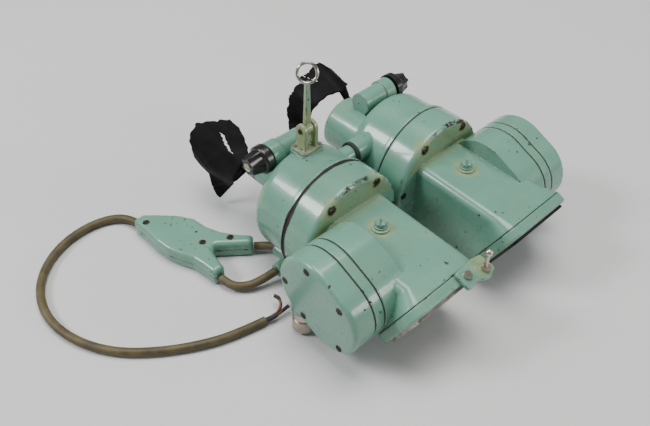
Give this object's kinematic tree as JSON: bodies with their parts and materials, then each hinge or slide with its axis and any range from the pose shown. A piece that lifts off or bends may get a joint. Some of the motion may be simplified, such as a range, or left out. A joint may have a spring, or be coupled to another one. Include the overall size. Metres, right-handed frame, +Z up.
{
  "type": "night vision binoculars",
  "caption": "Twin-unit infrared viewing binoculars with telescoping bridge, folding ring sight, focus knobs, rubber eyecups and a Y-jointed power lead.",
  "frame": {"origin": "on the table, under the middle of the pair, cable left out", "axes": "+Z up, +Y the way the wearer looks, +X the wearer's right"},
  "size_m": [0.2418, 0.1898, 0.1087],
  "materials": {
    "enamel": "pale sea-green gloss enamel over cast alloy, chipped and stained",
    "black_rubber": "matt perished black rubber",
    "nickel": "dull nickel plate",
    "dark_steel": "oil-blackened steel",
    "black_metal": "black-finished metal",
    "bakelite": "black moulded plastic",
    "dark_glass": "dark filter glass",
    "lens_glass": "clear coated glass",
    "mirror_coat": "front-silvered mirror",
    "cable_rubber": "aged olive-brown rubber sheath"
  },
  "bodies": {
    "right_unit": {"main_housing_right": "enamel", "rear_cap_right": "enamel", "body_gaskets_right": "black_rubber", "pod_spacer_right": "enamel", "pod_cover_right": "enamel", "pod_screws_right": "dark_steel", "drum_screws_right": "dark_steel", "window_frame_right": "enamel", "window_glass_right": "dark_glass", "vent_plug_right": "enamel", "objective_mirror_right": "mirror_coat", "image_tube_right": "dark_steel", "power_pack_right": "bakelite", "eyepiece_housing_right": "enamel", "eyecup_right": "black_rubber", "power_socket_right": "nickel", "window_retainer_right": "nickel", "bridge_seal": "black_rubber", "sight_base": "enamel", "front_bracket": "enamel", "bead_sight": "nickel", "sight_screws": "nickel", "sight_pin": "dark_steel", "cable_joint_lower": "enamel", "cable_joint_upper": "enamel", "cable_joint_screws": "dark_steel", "main_lead": "cable_rubber", "branch_lead_1": "cable_rubber", "branch_lead_2": "cable_rubber"},
    "left_unit": {"main_housing_left": "enamel", "rear_cap_left": "enamel", "body_gaskets_left": "black_rubber", "pod_spacer_left": "enamel", "pod_cover_left": "enamel", "pod_screws_left": "dark_steel", "drum_screws_left": "dark_steel", "window_frame_left": "enamel", "window_glass_left": "dark_glass", "vent_plug_left": "enamel", "objective_mirror_left": "mirror_coat", "image_tube_left": "dark_steel", "power_pack_left": "bakelite", "eyepiece_housing_left": "enamel", "eyecup_left": "black_rubber", "power_socket_left": "nickel", "window_retainer_left": "black_metal"},
    "right_focus_knob": {"focus_knob_right": "bakelite", "knob_screw_right": "nickel"},
    "left_focus_knob": {"focus_knob_left": "bakelite", "knob_screw_left": "nickel"},
    "right_eyepiece_cell": {"eyepiece_cell_right": "black_metal", "eyepiece_lens_right": "lens_glass"},
    "left_eyepiece_cell": {"eyepiece_cell_left": "black_metal", "eyepiece_lens_left": "lens_glass"},
    "ring_sight_arm": {"ring_sight": "enamel"}
  },
  "joints": [
    {"name": "bridge_slide", "type": "slide", "parent": "right_unit", "child": "left_unit", "axis": [-1, 0, 0], "range_m": [0, 0.007]},
    {"name": "ring_sight_fold", "type": "hinge", "parent": "right_unit", "child": "ring_sight_arm", "pos_m": [0.0295, -0.02, 0.073], "axis": [1, 0, 0], "range_deg": [-90, 0]},
    {"name": "right_focus_turn", "type": "hinge", "parent": "right_unit", "child": "right_focus_knob", "pos_m": [0.045, -0.0336, 0.055], "axis": [1, 0, 0], "range_deg": [-150, 150]},
    {"name": "right_eyepiece_travel", "type": "slide", "parent": "right_unit", "child": "right_eyepiece_cell", "axis": [0, 1, 0], "range_m": [-0.002, 0.002]},
    {"name": "left_focus_turn", "type": "hinge", "parent": "left_unit", "child": "left_focus_knob", "pos_m": [-0.045, -0.0336, 0.055], "axis": [1, 0, 0], "range_deg": [-150, 150]},
    {"name": "left_eyepiece_travel", "type": "slide", "parent": "left_unit", "child": "left_eyepiece_cell", "axis": [0, 1, 0], "range_m": [-0.002, 0.002]}
  ],
  "couplings": [
    {"joint": "right_focus_turn", "follows": "right_eyepiece_travel", "rad_per_m": 1300},
    {"joint": "left_focus_turn", "follows": "left_eyepiece_travel", "rad_per_m": 1300}
  ]
}
